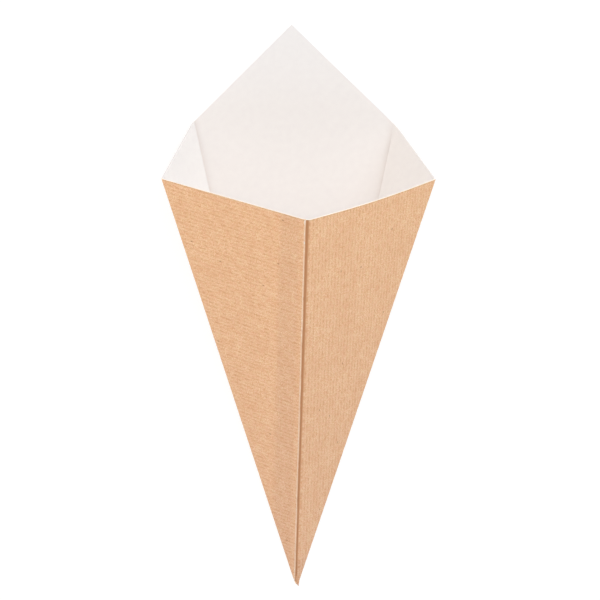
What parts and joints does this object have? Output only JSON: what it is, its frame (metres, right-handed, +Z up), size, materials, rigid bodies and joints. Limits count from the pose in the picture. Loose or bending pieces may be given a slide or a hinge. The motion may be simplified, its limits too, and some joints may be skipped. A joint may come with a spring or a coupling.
{
  "type": "cardboard food cone",
  "caption": "Flat-sided cone folded from a creased square of ribbed kraft board, white inside, with a tall pointed back and a lapped glued front seam, for holding chips or snacks.",
  "frame": {"origin": "middle of the box's footprint, on the outer face of the back panel the cone lies on", "axes": "+Z up off the back panel towards the lapped seam, +Y from the tip to the open mouth and the peak"},
  "size_m": [0.1248, 0.2652, 0.073],
  "materials": {
    "kraft_board": "matt ribbed kraft"
  },
  "bodies": {
    "root": {"folded_cone": "kraft_board"}
  },
  "joints": []
}
